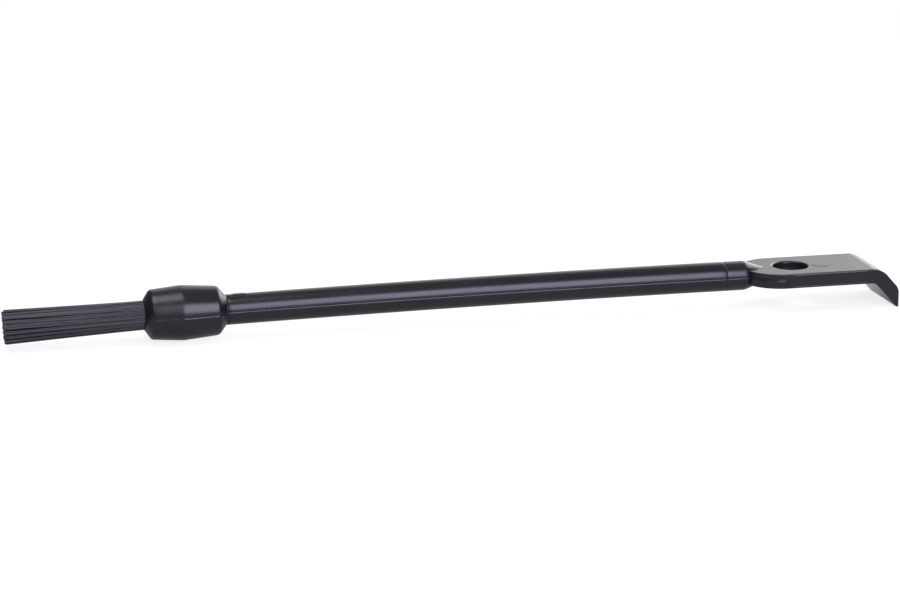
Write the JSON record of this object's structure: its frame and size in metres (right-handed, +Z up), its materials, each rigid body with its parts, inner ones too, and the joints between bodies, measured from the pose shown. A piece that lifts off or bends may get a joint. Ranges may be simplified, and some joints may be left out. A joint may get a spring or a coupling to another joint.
{
  "type": "coffee machine cleaning brush",
  "caption": "Stick brush: a nylon tuft in a barrel-shaped ferrule, a round shaft, and a flat scraper with a hanging hole and a bent chisel lip.",
  "frame": {"origin": "under the middle of the brush's length and width, level with the tip of the scraper's lip, on which the brush lies", "axes": "+X along the brush from the bristle tips to the scraper, +Z up out of the scraper plate's top face, +Y across the plate"},
  "size_m": [0.1686, 0.0134, 0.0114],
  "materials": {
    "nylon_bristle": "smooth extruded nylon filament, dark grey to black",
    "anchor_wire": "plain rolled wire",
    "black_plastic": "moulded, satin with a fine spark-eroded grain"
  },
  "bodies": {
    "root": {"upper_bristles": "nylon_bristle", "lower_bristles": "nylon_bristle", "tuft_anchor": "anchor_wire", "ferrule": "black_plastic", "handle_shaft": "black_plastic", "scraper": "black_plastic"}
  },
  "joints": []
}
